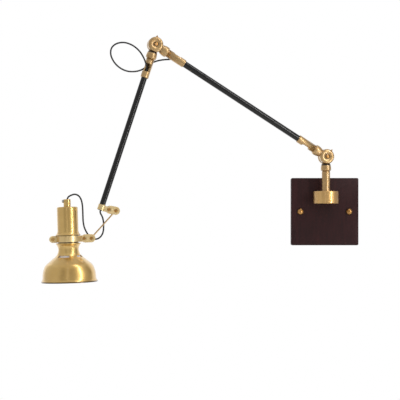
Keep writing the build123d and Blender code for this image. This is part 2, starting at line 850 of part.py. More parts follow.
def bulb_outline(inset):
    """Half outline of the globe, one hollow round and the neck, moved in by an inset."""
    centre = cap_bottom - bulb_length + bulb_radius
    neck = cap_radius - 0.6
    hollow_at = neck + bulb_neck_round
    apart = bulb_radius + bulb_neck_round
    rise = math.sqrt(apart**2 - hollow_at**2)
    share = (bulb_radius - inset) / apart
    bottom = (0, centre - bulb_radius + inset)
    meet = (hollow_at * share, centre + rise * share)
    throat = (neck - inset, centre + rise)
    outline = TangentArc(bottom, meet, tangent=(1, 0))
    outline += TangentArc(throat, meet, tangent=(0, -1))
    return outline + Polyline(throat, (neck - inset, cap_bottom + inset), (0, cap_bottom + inset), bottom)


def in_head(shape):
    """Moves a piece drawn with the rim at its origin and its axis on Z into the arm plane."""
    flat = Rot(-90, 0, 0) * shape
    return placed(Pos(0, -head_strap_middle, 0) * flat, head_centre, head_angle)


# ----------------------------------------------------------------------------------------------- cords
# Control points in the arm plane: out along the arms, up, back towards the wall
def along(start, degrees, length):
    """A point on an arm's axis, with no distance from the arm plane."""
    point = step_from(start, length, degrees)
    return (round(point[0], 2), round(point[1], 2), 0.0)


def in_head_axis(height):
    """A point on the head's axis at a height above the rim."""
    return along(head_centre, head_angle + 90, height - head_strap_middle)


elbow_route = [
    along(lower_pivot, upper_arm_angle, upper_tube_end),
    along(lower_pivot, upper_arm_angle, upper_tube_end + 6.0),
    (294.5, 285.2, 5.2),
    (295.9, 285.1, 11.8),
    (301.4, 284.1, 15.2),
    (309.4, 283.7, 15.4),
    (319.6, 282.2, 14.6),
    (332.5, 278.6, 13.6),
    (344.6, 270.6, 13.4),
    (356.0, 262.2, 10.8),
    (370.0, 257.0, 7.0),
    (385.5, 256.6, 3.0),
    (400.5, 262.2, -1.0),
    (412.3, 272.6, -4.0),
    (419.6, 287.0, -5.5),
    (417.6, 301.6, -6.5),
    (406.0, 310.0, -7.0),
    (391.0, 311.6, -7.5),
    (376.3, 306.4, -8.0),
    (364.3, 295.6, -8.6),
    (357.0, 284.6, -8.8),
    (353.0, 276.2, -7.4),
    (350.6, 270.2, -5.0),
    (348.9, 265.4, -2.0),
    along(elbow_pivot, forearm_angle, tube_seat - 4.5),
    along(elbow_pivot, forearm_angle, tube_seat),
]
link_route_upper = [
    along(elbow_pivot, forearm_angle, forearm_tube_end),
    along(elbow_pivot, forearm_angle, forearm_tube_end + 5.0),
    (435.2, -10.4, 2.6),
    (432.0, -17.4, 6.0),
    (429.0, -24.6, 9.0),
    (427.8, -31.4, 10.4),
]
link_route_lower = [
    (427.8, -31.4, 10.4),
    (426.6, -38.2, 11.8),
    (429.6, -46.6, 12.2),
    (436.8, -52.8, 12.0),
    (446.0, -53.4, 12.4),
    (453.6, -48.6, 12.0),
    (458.6, -40.6, 10.7),
]
head_route = [
    (458.6, -40.6, 10.7),
    (463.6, -32.6, 9.4),
    (466.9, -19.6, 7.5),
    (468.0, -5.0, 5.5),
    (468.8, 9.6, 3.5),
    (471.6, 22.4, 2.0),
    (476.4, 30.0, 1.0),
    (483.2, 33.4, 0.4),
    (490.6, 32.4, 0.0),
    in_head_axis(cover_top + gland_height + 5.6),
    in_head_axis(cover_top + gland_height - 3.6),
]


def least_gap(path, apart):
    """The least gap between stretches of a cord that are at least a given length apart along it."""
    count = round(path.length / 1.5)
    places = [path.position_at(i / count) for i in range(count + 1)]
    skip = math.ceil(apart / 1.5)
    pairs = [(places[i] - places[j]).length for i in range(count + 1) for j in range(i + skip, count + 1)]
    return min(pairs) - 2 * cord_radius if pairs else None


def cord(name, route):
    """Round cord along straight runs and tangent arcs, each arc as large as its two runs allow."""
    points = [Vector(*point) for point in route]
    runs = [(points[i + 1] - points[i]).length for i in range(len(points) - 1)]
    radii = []
    for i in range(1, len(points) - 1):
        turn = math.radians((points[i] - points[i - 1]).get_angle(points[i + 1] - points[i]))
        radii.append(0.45 * min(runs[i - 1], runs[i]) / math.tan(turn / 2))
    path = FilletPolyline(*points, radius=radii)
    section = Plane(origin=path @ 0, z_dir=path % 0) * Circle(cord_radius)
    shape = sweep(section, path=path, transition=Transition.RIGHT)
    expected = math.pi * cord_radius**2 * path.length
    print(name, "length", round(path.length, 1), "radii", [round(r, 1) for r in radii])
    print(name, "volume over section times length", round(shape.volume / expected, 4))
    print(name, "least gap to itself", least_gap(path, 40.0))
    return shape


# --------------------------------------------------------------------------------------------- writing
def write_wall_end():
    studs = [bracket_stud(side * stud_spacing / 2) for side in (-1, 1)]
    nuts = [dome_nut(side * stud_spacing / 2) for side in (-1, 1)]
    write("wall_plate", wall_plate())
    write("wall_bracket", wall_bracket())
    write("bracket_studs", Compound(children=studs))
    write("dome_nuts", Compound(children=nuts))
    write("terminal_block", terminal_block())
    write("terminal_screws", Compound(children=[terminal_screw(way) for way in range(3)]))
    write("earth_screw", earth_screw())
    write("swivel_base", swivel_base())
    write("base_cap", base_cap())
    write("base_nipple", base_nipple())
    write("nipple_nut", nipple_nut())


def write_post():
    write("post", post())
    write("post_washer", post_washer())
    write("post_nut", post_nut())
    write_arm("post_knuckle", placed(other_side(post_knuckle()), lower_pivot, -90))


def write_upper_arm():
    arm = upper_arm_angle
    back = arm + 180
    half = arm_knuckle(upper_tube_radius)
    lower = with_lock_hole(half, lower_lock_angle - arm)
    upper = with_lock_hole(half, upper_lock_angle - back)
    write_arm("upper_arm_lower_knuckle", placed(lower, lower_pivot, arm))
    write_arm("upper_arm_upper_knuckle", placed(upper, elbow_pivot, back))
    bar = arm_tube(upper_tube_radius, upper_tube_bore, tube_seat, upper_tube_end)
    write_arm("upper_arm_tube", placed(bar, lower_pivot, arm))
    pivots = (lower_pivot, elbow_pivot)
    write_arm("knuckle_bolts", *[placed(knuckle_bolt(), pivot, arm) for pivot in pivots])
    write_arm("knuckle_nuts", *[placed(knuckle_nut(), pivot, arm) for pivot in pivots])
    write_arm("knuckle_washers", *[placed(knuckle_washer(), pivot, arm) for pivot in pivots])
    lower_lock = placed(lock_screw(), lower_pivot, lower_lock_angle)
    upper_lock = placed(lock_screw(), elbow_pivot, upper_lock_angle)
    write_arm("lock_screws", lower_lock, upper_lock)
    flex = rod(cord_radius, (drilling_start + slip, 0, 0), (upper_tube_end, 0, 0))
    write_arm("upper_arm_flex", placed(flex, lower_pivot, arm))


def write_forearm():
    arm = forearm_angle
    half = other_side(arm_knuckle(forearm_tube_radius))
    write_arm("forearm_knuckle", placed(half, elbow_pivot, arm))
    bar = arm_tube(forearm_tube_radius, forearm_tube_bore, tube_seat, forearm_tube_end)
    write_arm("forearm_tube", placed(bar, elbow_pivot, arm))
    write_arm("forearm_grommet", placed(grommet(), elbow_pivot, arm))
    flex = rod(cord_radius, (tube_seat, 0, 0), (forearm_tube_end, 0, 0))
    write_arm("forearm_flex", placed(flex, elbow_pivot, arm))
    write_arm("forearm_clamp", placed(forearm_clamp(), clamp_centre, arm_cheek_angle))
    turned_cheek = arm_cheek_angle - arm_cheek_set
    stations = (arm_pivot_reach - screw_spacing - clamp_bend, arm_pivot_reach - clamp_bend)
    write_arm("forearm_clamp_screws", *[placed(clamp_screw(x), bend_point, turned_cheek) for x in stations])
    write_arm("forearm_clamp_nuts", *[placed(clamp_nut(x), bend_point, turned_cheek) for x in stations])
    write_arm("elbow_cord", cord("elbow_cord", elbow_route))
    write_arm("link_cord_upper", cord("link_cord_upper", link_route_upper))


def write_link():
    write_arm("link_rod", placed(link_rod(), link_top_pivot, link_angle))
    write_arm("link_cord_lower", cord("link_cord_lower", link_route_lower))


def write_head():
    half = head_strap()
    stations = (head_pivot_reach - screw_spacing, head_pivot_reach)
    facing = head_angle + 180
    write_arm("head_strap_front", placed(half, head_centre, facing))
    write_arm("head_strap_rear", placed(mirror(half, Plane.XY), head_centre, facing))
    write_arm("head_strap_screws", *[placed(clamp_screw(x), head_centre, facing) for x in stations])
    write_arm("head_strap_nuts", *[placed(clamp_nut(x), head_centre, facing) for x in stations])
    ear = slotted_screw(pivot_radius, screw_head_radius, ear_head_thick, -ear_thick + 1.0, ear_thick)
    write_arm("strap_ear_screw", placed(Pos(-ear_reach, 0, 0) * ear, head_centre, facing))
    pieces = {
        "shade": shade(),
        "holder_cover": holder_cover(),
        "cord_gland": cord_gland(),
        "gland_screw": gland_screw(),
        "holder_nipple": holder_nipple(),
        "lampholder": lampholder(),
        "lampholder_shell": lampholder_shell(),
        "lampholder_contact": lampholder_contact(),
        "bulb": bulb(),
        "bulb_cap": bulb_cap(),
    }
    for name, piece in pieces.items():
        write_arm(name, in_head(piece))
    write_arm("head_cord", cord("head_cord", head_route))


os.makedirs("parts", exist_ok=True)
write_wall_end()
write_post()
write_upper_arm()
write_forearm()
write_link()
write_head()
print("pivots in the arm plane", lower_pivot, elbow_pivot, link_top_pivot, link_low_pivot, head_centre)
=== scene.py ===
"""Looks of an articulating wall lamp of turned, spun and sheet brass with black tube arms.

Every piece is worked out in millimetres in a frame of its own (an arm, a clamp or the head), and is then set
in the lamp's frame in metres: +X right, +Y into the wall, +Z up, origin behind the wooden plate.
"""

import json
import math

import bmesh
import bpy
import numpy as np
from mathutils import Euler, Matrix


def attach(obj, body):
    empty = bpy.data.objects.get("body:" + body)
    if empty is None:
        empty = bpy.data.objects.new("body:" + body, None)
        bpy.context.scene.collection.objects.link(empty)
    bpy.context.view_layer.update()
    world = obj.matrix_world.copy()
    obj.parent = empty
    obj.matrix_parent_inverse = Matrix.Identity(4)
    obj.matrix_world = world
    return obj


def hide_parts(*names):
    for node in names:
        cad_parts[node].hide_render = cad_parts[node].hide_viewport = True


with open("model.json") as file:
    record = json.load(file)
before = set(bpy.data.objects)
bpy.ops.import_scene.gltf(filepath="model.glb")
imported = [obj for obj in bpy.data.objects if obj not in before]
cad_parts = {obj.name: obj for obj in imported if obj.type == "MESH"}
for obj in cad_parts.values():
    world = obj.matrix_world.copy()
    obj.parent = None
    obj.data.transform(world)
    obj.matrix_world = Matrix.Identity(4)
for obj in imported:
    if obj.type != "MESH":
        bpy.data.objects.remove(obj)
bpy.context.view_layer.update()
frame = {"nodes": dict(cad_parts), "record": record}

# ------------------------------------------------------------------------------------------------ sizes, mm
MM = 0.001
POST_Y = -40.0
PLATE_SIDE, PLATE_THICKNESS = 130.0, 18.0
PLATE_CORNER, PLATE_EDGE = 2.8, 1.0
PLANE_TURN = 13.0
LOWER_PIVOT = (0.0, 105.0)
UPPER_LENGTH, UPPER_RISE = 390.0, 31.4
FOREARM_LENGTH, FOREARM_ANGLE = 318.4, -71.6
CHEEK_ANGLE = FOREARM_ANGLE - 90
CHEEK_SET = 8.0
CLAMP_BEND = 8.0
ARM_PIVOT_REACH = 27.0
LINK_LENGTH, LINK_ANGLE = 68.0, -47.9
HEAD_PIVOT_REACH = 41.9
HEAD_TILT = -1.76
STRAP_MIDDLE = 79.0
CORD_RADIUS = 1.5

# Arm tubes: outer radius, radius of the bore, and the distances of both ends from the pivot
TUBE_START = 53.5
UPPER_TUBE_END, LOWER_TUBE_END = UPPER_LENGTH - TUBE_START, 324.05
UPPER_TUBE = (6.0, 4.6, TUBE_START, UPPER_TUBE_END)
LOWER_TUBE = (5.5, 3.8, TUBE_START, LOWER_TUBE_END)
LINK_WIRE_RADIUS = 1.36
# Lock screws: the directions in which they point, and the middle of the front disc's thickness
LOWER_LOCK_ANGLE, ELBOW_LOCK_ANGLE = 128.7, 100.3
LOCK_DEPTH = 5.65

# Heights on the head's axis are above the shade's rim
SHADE_WALL = 1.2
VENT_HEIGHT, VENT_RISE = 47.4, 3.4
VENT_COUNT, VENT_SPREAD, FIRST_VENT = 4, 55.0, 58.0
COLLAR_RADIUS, COLLAR_BORE, COLLAR_TOP = 18.9, 17.7, 89.0
COVER_RADIUS, COVER_BORE, COVER_SKIRT = 19.1, 17.9, 23.0
COVER_BOTTOM, COVER_TOP, COVER_CROWN = 85.2, 137.7, 2.4
NIPPLE_HOLE = 5.05
GLAND_RADIUS = 6.65
GLAND_TOP = COVER_TOP + 13.9
GLOBE_RADIUS, GLOBE_CENTRE, GLOBE_NECK = 22.5, 38.5, 12.5


# ------------------------------------------------------------------------------------------------ places
def shift(x, y, z=0.0):
    """A move by x, y and z."""
    return Matrix.Translation((x, y, z))


def turn(degrees, axis="Z"):
    """A turn by degrees about one axis."""
    return Matrix.Rotation(math.radians(degrees), 4, axis)


def on(point, degrees=0.0):
    """A place in the arm plane: moved to a point and turned by degrees."""
    return shift(point[0], point[1]) @ turn(degrees)


def reach(point, length, degrees):
    """The point a length away from another in a direction of the arm plane."""
    angle = math.radians(degrees)
    return (point[0] + length * math.cos(angle), point[1] + length * math.sin(angle))


plane_angle = math.radians(PLANE_TURN)
OUT = (-math.cos(plane_angle), -math.sin(plane_angle), 0.0)
BACK = (-math.sin(plane_angle), math.cos(plane_angle), 0.0)
ARM_PLANE = Matrix(
    (
        (OUT[0], 0.0, BACK[0], 0.0),
        (OUT[1], 0.0, BACK[1], POST_Y),
        (OUT[2], 1.0, BACK[2], 0.0),
        (0.0, 0.0, 0.0, 1.0),
    )
)
ELBOW = reach(LOWER_PIVOT, UPPER_LENGTH, UPPER_RISE)
CLAMP_CENTRE = reach(ELBOW, FOREARM_LENGTH, FOREARM_ANGLE)
CLAMP_CORNER = reach(CLAMP_CENTRE, CLAMP_BEND, CHEEK_ANGLE)
LINK_TOP = reach(CLAMP_CORNER, ARM_PIVOT_REACH - CLAMP_BEND, CHEEK_ANGLE - CHEEK_SET)
LINK_LOW = reach(LINK_TOP, LINK_LENGTH, LINK_ANGLE)
HEAD_CENTRE = reach(LINK_LOW, HEAD_PIVOT_REACH, HEAD_TILT)
HEAD = ARM_PLANE @ on(HEAD_CENTRE, HEAD_TILT) @ shift(0.0, -STRAP_MIDDLE, 0.0) @ turn(-90, "X")
METRES = Matrix.Scale(MM, 4)


# ------------------------------------------------------------------------------------------------ camera
# Its place, lens and shift were fitted to the photo
camera_data = bpy.data.cameras.new("camera")
camera_data.lens = 115.2
camera_data.sensor_width = 36.0
camera_data.shift_y = 0.07
camera = bpy.data.objects.new("camera", camera_data)
camera.location = (-0.2411, -2.490, -0.0316)
camera.rotation_euler = Euler((math.radians(90), 0.0, 0.0))
bpy.context.scene.collection.objects.link(camera)
bpy.context.scene.camera = camera


# ------------------------------------------------------------------------------------------------ cords
def cord_curve(name, route, body, node):
    """A round cord along a smooth line whose control points are the route, given in the arm plane in mm.

    Its thickness is in the points' radius, under a bevel of one metre: a curve's box is widened by that radius.
    """
    data = bpy.data.curves.new(name, "CURVE")
    data.dimensions = "3D"
    data.resolution_u = 10
    data.bevel_depth = 1.0
    data.bevel_resolution = 5
    data.use_fill_caps = True
    spline = data.splines.new("NURBS")
    spline.points.add(len(route) - 1)
    for point, place in zip(spline.points, route):
        where = METRES @ ARM_PLANE @ Matrix.Translation(place).to_translation()
        point.co = (*where, 1.0)
        point.radius = CORD_RADIUS * MM
    spline.order_u = 3
    spline.use_endpoint_u = True
    piece = bpy.data.objects.new(name, data)
    bpy.context.scene.collection.objects.link(piece)
    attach(piece, body)
    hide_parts(node)
    return piece


def cord_length(piece):
    """The length of a cord's own line, in metres."""
    depth = piece.data.bevel_depth
    caps = piece.data.use_fill_caps
    piece.data.bevel_depth = 0.0
    piece.data.use_fill_caps = False
    bpy.context.view_layer.update()
    line = bpy.data.meshes.new_from_object(piece.evaluated_get(bpy.context.evaluated_depsgraph_get()))
    places = np.empty(len(line.vertices) * 3)
    line.vertices.foreach_get("co", places)
    places = places.reshape(-1, 3)
    bpy.data.meshes.remove(line)
    piece.data.bevel_depth = depth
    piece.data.use_fill_caps = caps
    return float(np.linalg.norm(np.diff(places, axis=0), axis=1).sum())


def along(start, degrees, length):
    """A point of an arm's axis, in the arm plane."""
    return (*reach(start, length, degrees), 0.0)


ELBOW_ROUTE = [
    along(LOWER_PIVOT, UPPER_RISE, UPPER_TUBE_END),
    along(LOWER_PIVOT, UPPER_RISE, 342.5),
    (294.5, 285.2, 5.2),
    (295.9, 285.1, 11.8),
    (301.4, 284.1, 15.2),
    (309.4, 283.7, 15.4),
    (319.6, 282.2, 14.6),
    (332.5, 278.6, 13.6),
    (344.6, 270.6, 13.4),
    (356.0, 262.2, 10.8),
    (370.0, 258.1, 7.0),
    (385.3, 257.8, 3.0),
    (400.0, 263.4, -1.0),
    (411.4, 273.6, -4.0),
    (417.9, 287.4, -5.5),
    (416.0, 300.6, -6.5),
    (405.0, 308.6, -7.0),
    (390.6, 310.2, -7.5),
    (376.3, 305.2, -8.0),
    (364.3, 295.6, -8.6),
    (357.0, 284.6, -8.8),
    (353.0, 276.2, -7.4),
    (350.6, 270.2, -5.0),
    (348.9, 265.4, -2.0),
    along(ELBOW, FOREARM_ANGLE, 49.0),
    along(ELBOW, FOREARM_ANGLE, TUBE_START),
]
LINK_ROUTE_UPPER = [
    along(ELBOW, FOREARM_ANGLE, LOWER_TUBE_END),
    along(ELBOW, FOREARM_ANGLE, 328.0),
    (431.6, -9.6, 3.4),
    (428.9, -17.4, 6.0),
    (427.9, -25.0, 8.9),
    (427.8, -31.4, 10.4),
]
LINK_ROUTE_LOWER = [
    (427.8, -31.4, 10.4),
    (427.7, -37.8, 11.9),
    (431.4, -46.4, 12.2),
    (438.0, -51.8, 12.2),
    (446.4, -52.6, 12.4),
    (453.6, -48.6, 12.0),
    (458.6, -40.6, 10.7),
]
HEAD_ROUTE = [
    (458.6, -40.6, 10.7),
    (463.6, -32.6, 9.4),
    (466.3, -19.6, 7.5),
    (467.0, -5.0, 5.5),
    (467.7, 9.0, 3.5),
    (470.2, 20.6, 2.0),
    (474.9, 27.6, 1.0),
    (481.8, 30.6, 0.4),
    (489.2, 28.6, 0.0),
    along(HEAD_CENTRE, HEAD_TILT + 90, 75.4),
    along(HEAD_CENTRE, HEAD_TILT + 90, 67.5),
]


cords = []
for name, route, body, node in (
    ("elbow_loop", ELBOW_ROUTE, "forearm", "elbow_cord"),
    ("cord_behind_link", LINK_ROUTE_UPPER, "forearm", "link_cord_upper"),
    ("cord_under_link", LINK_ROUTE_LOWER, "link_rod", "link_cord_lower"),
    ("cord_to_head", HEAD_ROUTE, "lamp_head", "head_cord"),
):
    piece = cord_curve(name, route, body, node)
    cord_length(piece)
    cords.append(piece)


# ------------------------------------------------------------------------------------------------ meshes
def grid_faces(rows, columns, around=True):
    """Quads of a grid of points, closed across its columns where it goes round."""
    i, j = np.meshgrid(np.arange(rows - 1), np.arange(columns if around else columns - 1), indexing="ij")
    k = (j + 1) % columns
    low, high = i * columns, (i + 1) * columns
    return np.stack([low + j, low + k, high + k, high + j], -1).reshape(-1, 4)


def capped(rows, columns):
    """Quads of a grid of points that goes round, with one face across its first row and one across its last."""
    last = (rows - 1) * columns
    ends = [list(range(columns))[::-1], [last + i for i in range(columns)]]
    return grid_faces(rows, columns).tolist() + ends


def mesh_of(name, points, faces):
    """A mesh from arrays of points and faces, its doubles merged and its faces turned outwards."""
    mesh = bpy.data.meshes.new(name)
    mesh.from_pydata(np.asarray(points).reshape(-1, 3).tolist(), [], [list(face) for face in faces])
    work = bmesh.new()
    work.from_mesh(mesh)
    bmesh.ops.remove_doubles(work, verts=work.verts, dist=1e-4)
    bmesh.ops.recalc_face_normals(work, faces=work.faces)
    work.to_mesh(mesh)
    work.free()
    piece = bpy.data.objects.new(name, mesh)
    bpy.context.scene.collection.objects.link(piece)
    return piece


def lathe(name, profile, around=96):
    """A closed outline of radius r and height z turned round Z: (r cos a, r sin a, z) for the angles a."""
    profile = np.asarray(profile, float)
    profile = np.vstack([profile, profile[:1]])
    angle = np.linspace(0.0, 2 * np.pi, around, endpoint=False)
    radius = profile[:, 0, None]
    height = np.repeat(profile[:, 1, None], around, 1)
    points = np.stack([radius * np.cos(angle), radius * np.sin(angle), height], -1)
    return mesh_of(name, points, grid_faces(len(profile), around))


def column(name, outline, low, high, edge=0.0):
    """An outline in XY carried up from low to high; its two rims are rounded by edge, drawn in by 1 - cos a."""
    outline = np.asarray(outline, float)
    ahead = np.roll(outline, -1, 0) - np.roll(outline, 1, 0)
    ahead /= np.linalg.norm(ahead, axis=1, keepdims=True)
    inward = np.stack([-ahead[:, 1], ahead[:, 0]], -1)
    if edge:
        a = np.linspace(0.0, np.pi / 2, 4)
        drawn = np.concatenate([edge * (1 - np.sin(a)), edge * (1 - np.cos(a))])
        height = np.concatenate([low + edge * (1 - np.cos(a)), high - edge * (1 - np.sin(a))])
    else:
        drawn = np.zeros(2)
        height = np.array([low, high])
    flat = outline[None] + inward[None] * drawn[:, None, None]
    points = np.concatenate([flat, np.broadcast_to(height[:, None, None], flat.shape[:2] + (1,))], -1)
    return mesh_of(name, points, capped(len(height), len(outline)))


def box_outline(x0, x1, y0, y1):
    """The outline of a rectangle, counter-clockwise."""
    return np.array([[x0, y0], [x1, y0], [x1, y1], [x0, y1]], float)


def wire(name, path, radius, around):
    """A round wire along a path in XY: its section stands square to the path."""
    path = np.asarray(path, float)
    ahead = np.gradient(path, axis=0)
    ahead /= np.linalg.norm(ahead, axis=1, keepdims=True)
    across = np.stack([-ahead[:, 1], ahead[:, 0], np.zeros(len(path))], -1)
    up = np.array([0.0, 0.0, 1.0])
    a = np.linspace(0.0, 2 * np.pi, around, endpoint=False)
    centre = np.concatenate([path, np.zeros((len(path), 1))], 1)
    section = np.cos(a)[None, :, None] * across[:, None] + np.sin(a)[None, :, None] * up
    return mesh_of(name, centre[:, None] + radius * section, capped(len(path), around))


def combined(piece, others, way="DIFFERENCE"):
    """Cuts pieces out of another, or joins them to it, and drops them."""
    for other in others:
        modifier = piece.modifiers.new("cut", "BOOLEAN")
        modifier.operation = way
        modifier.solver = "EXACT"
        modifier.object = other
    bpy.context.view_layer.update()
    mesh = bpy.data.meshes.new_from_object(piece.evaluated_get(bpy.context.evaluated_depsgraph_get()))
    old = piece.data
    piece.modifiers.clear()
    piece.data = mesh
    bpy.data.meshes.remove(old)
    for other in others:
        data = other.data
        bpy.data.objects.remove(other)
        bpy.data.meshes.remove(data)
    return piece


def moved(piece, place):
    """The same piece, its mesh moved."""
    piece.data.transform(place)
    return piece


def finish_piece(piece, place, body, node, material, crease=35.0):
    """Sets a piece in the lamp's frame in metres, smooth but for its creases, in place of a CAD node."""
    piece.data.transform(METRES @ place)
    piece.data.shade_smooth()
    piece.data.set_sharp_from_angle(angle=math.radians(crease))
    piece.data.materials.clear()
    piece.data.materials.append(material)
    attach(piece, body)
    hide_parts(node)
    return piece


def arc(centre, radius, start, end, steps):
    """Points of an arc from one angle to another, in degrees."""
    a = np.radians(np.linspace(start, end, steps))
    return np.stack([centre[0] + radius * np.cos(a), centre[1] + radius * np.sin(a)], -1)


def arc_run(points, heading, count=14):
    """Arcs through points, each tangent to the one before it, and their headings.

    An arc of chord c that leaves along d turns by a = 2 atan2(c . n, c . d), where n stands square to d, and
    its points are d r sin(ta) + n r (1 - cos(ta)) for t from 0 to 1, with r = |c| / (2 sin(a / 2)).
    """
    heading = np.asarray(heading, float) / np.linalg.norm(heading)
    places = [np.asarray(points[:1], float)]
    headings = [heading[None]]
    t = np.linspace(0.0, 1.0, count)[1:, None]
    for start, end in zip(np.asarray(points, float), np.asarray(points, float)[1:]):
        chord = end - start
        square = np.array([-heading[1], heading[0]])
        bend = 2 * math.atan2(chord @ square, chord @ heading)
        radius = np.linalg.norm(chord) / (2 * math.sin(bend / 2))
        places.append(start + radius * (np.sin(bend * t) * heading + (1 - np.cos(bend * t)) * square))
        headings.append(np.cos(bend * t) * heading + np.sin(bend * t) * square)
        heading = headings[-1][-1]
    return np.concatenate(places), np.concatenate(headings)


def threaded(name, radius, pitch, low, high, deep, around=24):
    """A screw thread: the radius is r - deep |2 f - 1|, where f is what (z / pitch - a / 2 pi) is past whole.

    It has eight rows of points to each turn of the thread.
    """
    z = np.linspace(low, high, int((high - low) / pitch * 8))[:, None]
    a = np.linspace(0.0, 2 * np.pi, around, endpoint=False)[None]
    f = np.mod(z / pitch - a / (2 * np.pi), 1.0)
    r = radius - deep * np.abs(2 * f - 1)
    points = np.stack([r * np.cos(a), r * np.sin(a), np.broadcast_to(z, r.shape)], -1)
    return mesh_of(name, points, capped(len(z), around))


# ------------------------------------------------------------------------------------------------ finishes
WHITE = (1.0, 1.0, 1.0, 1.0)


def linear(code):
    """A colour written as sRGB hex, turned to linear."""
    values = np.array([int(code[i : i + 2], 16) for i in (1, 3, 5)]) / 255
    values = np.where(values <= 0.04045, values / 12.92, ((values + 0.055) / 1.055) ** 2.4)
    return (*values.tolist(), 1.0)


def add(tree, kind, links=None, **settings):
    """Adds one node with its settings, and links its inputs to outputs of other nodes."""
    new = tree.nodes.new(kind)
    for key, value in settings.items():
        setattr(new, key, value)
    for key, value in (links or {}).items():
        socket = new.inputs[key]
        if isinstance(value, bpy.types.NodeSocket):
            tree.links.new(value, socket)
        else:
            socket.default_value = value
    return new


def new_material(name):
    """An empty material with its shader, and its output linked."""
    material = bpy.data.materials.new(name)
    material.use_nodes = True
    tree = material.node_tree
    tree.nodes.clear()
    shader = add(tree, "ShaderNodeBsdfPrincipled")
    add(tree, "ShaderNodeOutputMaterial", {"Surface": shader.outputs[0]})
    return material, tree, shader


def brass(name, pale, deep, rough, bump, place=None, dark=()):
    """Brass under clear lacquer: a satin metal whose colour and gloss drift a little, under a hard shine.

    With a place its faint tool marks run round that place's Z, and painted shade darkens the metal at the
    heights in dark, given as pairs of a height in mm and the share of its brightness that is left there.
    """
    material, tree, shader = new_material(name)
    where = add(tree, "ShaderNodeTexCoord").outputs["Object"]
    if place is not None:
        back = METRES @ (METRES @ place).inverted()
        links = {"Vector": where, "Location": back.to_translation(), "Rotation": back.to_euler()}
        where = add(tree, "ShaderNodeMapping", links).outputs[0]
    drift = add(tree, "ShaderNodeTexNoise", {"Vector": where, "Scale": 28.0, "Detail": 3.0, "Roughness": 0.55})
    ramp = add(tree, "ShaderNodeMapRange", {"Value": drift.outputs[0], "From Min": 0.3, "From Max": 0.7})
    colour = add(tree, "ShaderNodeMix", {"Factor": ramp.outputs[0]}, data_type="RGBA")
    colour.inputs["A"].default_value = linear(pale)
    colour.inputs["B"].default_value = linear(deep)
    tint = colour.outputs["Result"]
    rub = add(tree, "ShaderNodeTexNoise", {"Vector": where, "Scale": 160.0, "Detail": 4.0, "Roughness": 0.6})
    ends = {"From Min": 0.35, "From Max": 0.75, "To Min": rough * 0.94, "To Max": rough * 1.07}
    gloss = add(tree, "ShaderNodeMapRange", {"Value": rub.outputs[0], **ends})
    tree.links.new(gloss.outputs[0], shader.inputs["Roughness"])
    if place is not None:
        height = add(tree, "ShaderNodeSeparateXYZ", {"Vector": where}).outputs["Z"]
        lines = {"W": height, "Scale": 1100.0, "Detail": 2.0}
        marks = add(tree, "ShaderNodeTexNoise", lines, noise_dimensions="1D")
        # Painted shade: the colour is multiplied darker and browner at the heights in dark
        if dark:
            top = dark[-1][0]
            share = add(tree, "ShaderNodeMapRange", {"Value": height, "From Max": top * MM})
            band = add(tree, "ShaderNodeValToRGB", {"Fac": share.outputs[0]})
            stops = band.color_ramp.elements
            while len(stops) < len(dark):
                stops.new(0.5)
            for stop, (level, _) in zip(stops, dark):
                stop.position = level / top
            for stop, (_, left) in zip(stops, dark):
                stop.color = (left, left * 0.86, left * 0.72, 1.0) if left < 1 else WHITE
            painted_shade = add(tree, "ShaderNodeMix", {"Factor": 1.0}, data_type="RGBA", blend_type="MULTIPLY")
            tree.links.new(tint, painted_shade.inputs["A"])
            tree.links.new(band.outputs["Color"], painted_shade.inputs["B"])
            tint = painted_shade.outputs["Result"]
    else:
        marks = add(tree, "ShaderNodeTexNoise", {"Vector": where, "Scale": 700.0, "Detail": 2.0})
    tree.links.new(tint, shader.inputs["Base Color"])
    relief = add(tree, "ShaderNodeBump", {"Height": marks.outputs[0], "Strength": bump, "Distance": 0.05 * MM})
    tree.links.new(relief.outputs[0], shader.inputs["Normal"])
    shader.inputs["Metallic"].default_value = 1.0
    shader.inputs["Coat Weight"].default_value = 1.0
    shader.inputs["Coat Roughness"].default_value = 0.09
    return material


# Painted shade: dark at the rim, for the shaded underside of the mouth, and in the shadowed gaps beside the
# clamp ring
HEAD_PAINTED_SHADE = (
    (0.0, 0.12),
    (2.0, 0.16),
    (2.7, 1.0),
    (71.5, 1.0),
    (71.9, 0.1),
    (85.5, 0.1),
    (85.9, 1.0),
    (160.0, 1.0),
)
# Painted shade: almost black in the shadowed gap between a knuckle's barrel and its mate's disc
KNUCKLE_PAINTED_SHADE = ((0.0, 1.0), (14.2, 1.0), (14.5, 0.08), (16.9, 0.08), (17.3, 1.0), (80.0, 1.0))
# Spun brass: faint tool marks round the head's axis, and painted shade at the rim and beside the clamp ring
SPUN_BRASS = brass("spun_lacquered_brass", "#ebc578", "#dcb367", 0.3, 0.08, HEAD, HEAD_PAINTED_SHADE)
# Turned brass: machined and polished, redder than the spun sheet
TURNED_BRASS = brass("turned_lacquered_brass", "#e8be79", "#daaa66", 0.36, 0.05)
# Sheet brass: bent and hand polished and softer in its gloss; its paler colour is partly a painted highlight,
# for the bright shine of the flat clamp cheeks
SHEET_BRASS_PAINTED_SHEEN = brass("polished_sheet_brass_painted_sheen", "#f9e0a8", "#f0cf8e", 0.42, 0.04)
# Brass of the screws and dome nuts: it has gone brown
BROWN_BRASS = brass("browned_brass", "#cd964a", "#b27f3a", 0.36, 0.05)
# Brass of the knuckles: turned and milled, and only satin polished
SATIN = ("#cfad77", "#c09a65", 0.42, 0.04)
KNUCKLE_BRASS = brass("satin_turned_brass", *SATIN)


def knuckle_brass(name, pivot, degrees):
    """Turned brass of a half knuckle, with painted shade, almost black, in the gap between its barrel and its
    mate's disc.
    """
    return brass(name, *SATIN, ARM_PLANE @ on(pivot, degrees) @ turn(90, "Y"), KNUCKLE_PAINTED_SHADE)


